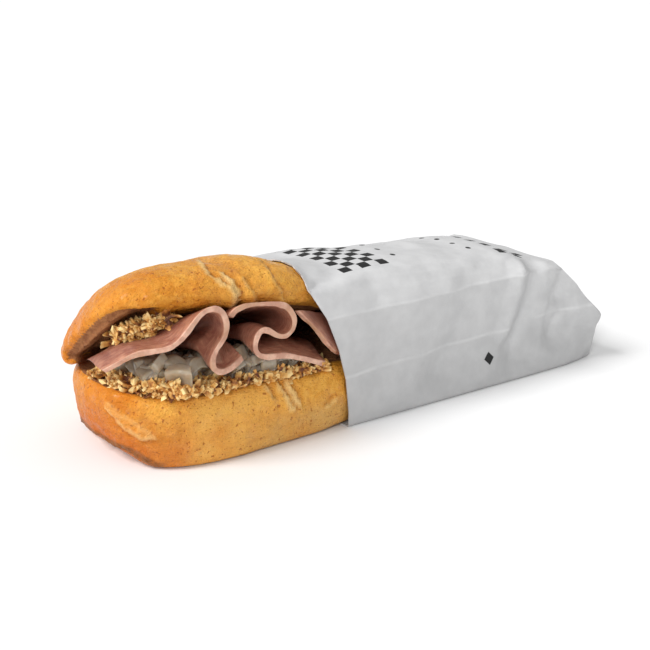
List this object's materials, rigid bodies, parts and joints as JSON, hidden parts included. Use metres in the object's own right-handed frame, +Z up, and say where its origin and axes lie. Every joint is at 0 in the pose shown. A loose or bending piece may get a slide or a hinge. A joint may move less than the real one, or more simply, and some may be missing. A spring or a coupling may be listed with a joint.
{
  "type": "submarine sandwich",
  "caption": "Crusty submarine roll hinged at the back, filled with folded cold beef, diced white onion and crisp fried onion, in a folded white paper sleeve with plain black shapes.",
  "frame": {"origin": "middle of the sandwich's footprint, on the surface it rests on", "axes": "+X along the roll, from its bare end to the folded end of the sleeve; +Z up; the cut side faces -Y"},
  "size_m": [0.2366, 0.0833, 0.0723],
  "materials": {
    "roll": "satin",
    "beef_slice": "satin",
    "diced_onion": "gloss",
    "crisp_onion": "matte",
    "paper_sleeve": "matte"
  },
  "bodies": {
    "root": {"roll": "roll", "beef_slice_left": "beef_slice", "beef_slice_middle": "beef_slice", "beef_slice_right": "beef_slice", "diced_onion": "diced_onion", "crisp_onion_layer": "crisp_onion", "crisp_onion_pocket": "crisp_onion", "paper_sleeve": "paper_sleeve"}
  },
  "joints": []
}
